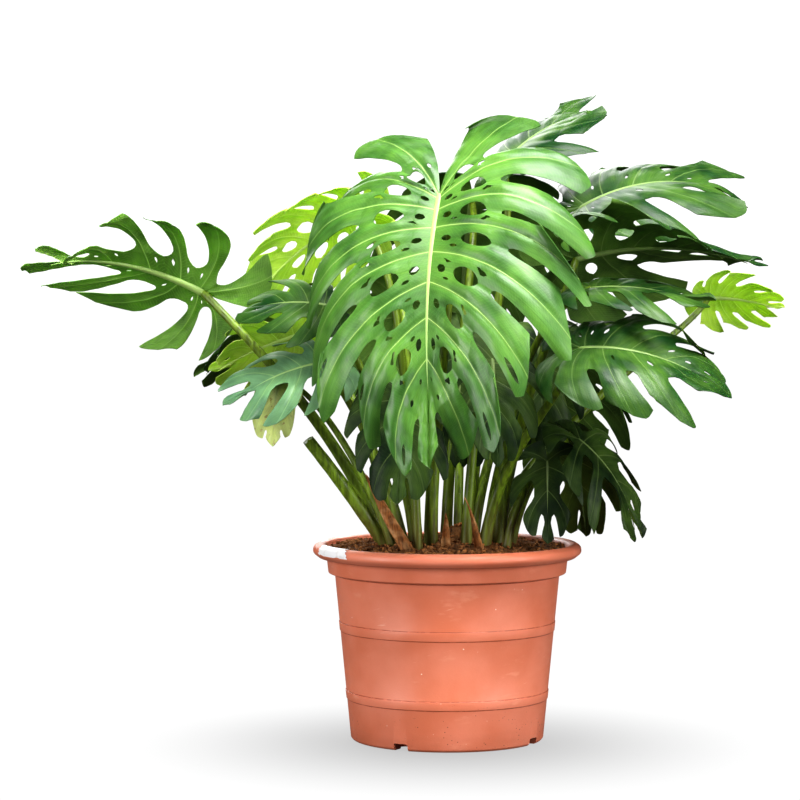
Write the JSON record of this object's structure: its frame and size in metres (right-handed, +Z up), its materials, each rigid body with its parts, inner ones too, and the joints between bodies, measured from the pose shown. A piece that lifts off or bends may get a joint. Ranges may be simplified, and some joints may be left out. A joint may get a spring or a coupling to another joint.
{
  "type": "potted monstera plant",
  "caption": "Leafy monstera plant with split and perforated leaves on long stalks, in a tapered terracotta-coloured plastic nursery pot filled with soil.",
  "frame": {"origin": "middle of the pot's underside, on the floor", "axes": "+Z up; -Y towards the viewer, where the large front leaf faces; +X to the right as the plant is seen, along its widest spread"},
  "size_m": [1.2863, 0.8735, 1.0821],
  "materials": {
    "leaf_bright": "glossy mid-green leaf with a pale midrib and pale side veins",
    "leaf_mid": "glossy mid-green leaf, paler and duller underneath",
    "leaf_dark": "glossy dark green leaf",
    "leaf_lime": "thin yellow-green leaf that lets light through",
    "leaf_grey_green": "grey-green leaf with a strong sheen",
    "leaf_yellow": "pale, drying, spotted leaf",
    "stalk": "olive green stalk, brown and fibrous at its cut",
    "dry_sheath": "dry, brown, papery",
    "pot_plastic": "terracotta-coloured moulded plastic, satin, scuffed",
    "label_paper": "blank white paper, torn at its edges",
    "soil": "dark brown, fibrous, chunky potting soil"
  },
  "bodies": {
    "root": {"leaf_front_main": "leaf_bright", "leaf_left_reaching": "leaf_mid", "leaf_left_dark": "leaf_dark", "leaf_left_pale": "leaf_lime", "leaf_left_grey": "leaf_grey_green", "leaf_left_yellow": "leaf_yellow", "leaf_left_lime": "leaf_lime", "leaf_left_glossy": "leaf_dark", "leaf_right_high": "leaf_dark", "leaf_right_upper": "leaf_dark", "leaf_right_under": "leaf_dark", "leaf_right_mid": "leaf_dark", "leaf_right_broad": "leaf_dark", "leaf_right_lime": "leaf_lime", "leaf_right_low": "leaf_dark", "leaf_right_fan": "leaf_dark", "leaf_inner_right": "leaf_dark", "leaf_inner_middle": "leaf_dark", "leaf_back_hanging": "leaf_dark", "leaf_front_low": "leaf_dark", "leaf_front_left_low": "leaf_dark", "leaf_back_high": "leaf_dark", "leaf_back_left": "leaf_dark", "leaf_back_right": "leaf_dark", "cut_stalk": "stalk", "dry_sheath_left": "dry_sheath", "dry_sheath_middle": "dry_sheath", "dry_sheath_right": "dry_sheath", "pot": "pot_plastic", "rim_label": "label_paper", "soil": "soil"}
  },
  "joints": []
}
